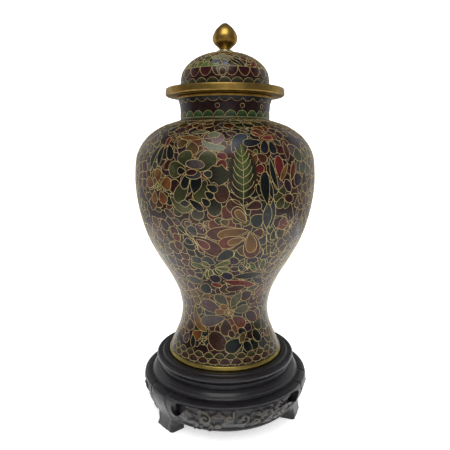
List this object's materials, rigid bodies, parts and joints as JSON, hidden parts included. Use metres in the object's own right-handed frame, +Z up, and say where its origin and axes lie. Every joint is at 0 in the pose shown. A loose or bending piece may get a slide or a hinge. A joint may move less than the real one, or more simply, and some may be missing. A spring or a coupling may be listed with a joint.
{
  "type": "lidded cloisonne vase",
  "caption": "Lidded cloisonne baluster vase with brass fittings and a bud finial, standing loose on a dark carved hardwood stand.",
  "frame": {"origin": "on the floor, under the middle of the stand", "axes": "+Z up along the axis of the vase, -Y towards the front of the decoration, +X to the right"},
  "size_m": [0.1372, 0.1372, 0.3024],
  "materials": {
    "brass": "satin, lightly tarnished",
    "copper": "satin copper sheet, hidden between the enamels",
    "enamel": "polished glassy cloisonne enamel, dark maroon ground with flowers in ochre, olive, green, red and near-black between gilt wires",
    "lining_enamel": "plain turquoise counter-enamel",
    "steel": "plain",
    "lacquered_wood": "near-black lacquer, semi-gloss, rubbed on the carving",
    "dowel_wood": "bare"
  },
  "bodies": {
    "stand": {"stand_rim": "lacquered_wood", "stand_panel": "lacquered_wood", "stand_shoulder": "lacquered_wood", "stand_leg_1": "lacquered_wood", "stand_apron_1": "lacquered_wood", "leg_dowel_1": "dowel_wood", "apron_dowel_1_left": "dowel_wood", "apron_dowel_1_right": "dowel_wood", "stand_leg_2": "lacquered_wood", "stand_apron_2": "lacquered_wood", "leg_dowel_2": "dowel_wood", "apron_dowel_2_left": "dowel_wood", "apron_dowel_2_right": "dowel_wood", "stand_leg_3": "lacquered_wood", "stand_apron_3": "lacquered_wood", "leg_dowel_3": "dowel_wood", "apron_dowel_3_left": "dowel_wood", "apron_dowel_3_right": "dowel_wood"},
    "vase": {"foot_ring": "brass", "base_plate": "copper", "foot_enamel": "enamel", "waist_enamel": "enamel", "belly_enamel": "enamel", "neck_enamel": "enamel", "lower_shell": "copper", "upper_shell": "copper", "neck_shell": "copper", "body_lining": "lining_enamel", "mouth_ring": "brass"},
    "lid": {"lid_spigot": "brass", "lid_flange": "brass", "lid_enamel": "enamel", "lid_shell": "copper", "lid_lining": "lining_enamel", "finial_collar": "brass", "lid_finial": "brass", "finial_stud": "steel", "finial_nut": "brass"}
  },
  "joints": [
    {"name": "vase_lift", "type": "slide", "parent": "stand", "child": "vase", "axis": [0, 0, 1], "range_m": [0, 0.03]},
    {"name": "lid_lift", "type": "slide", "parent": "vase", "child": "lid", "axis": [0, 0, 1], "range_m": [0, 0.045]}
  ]
}
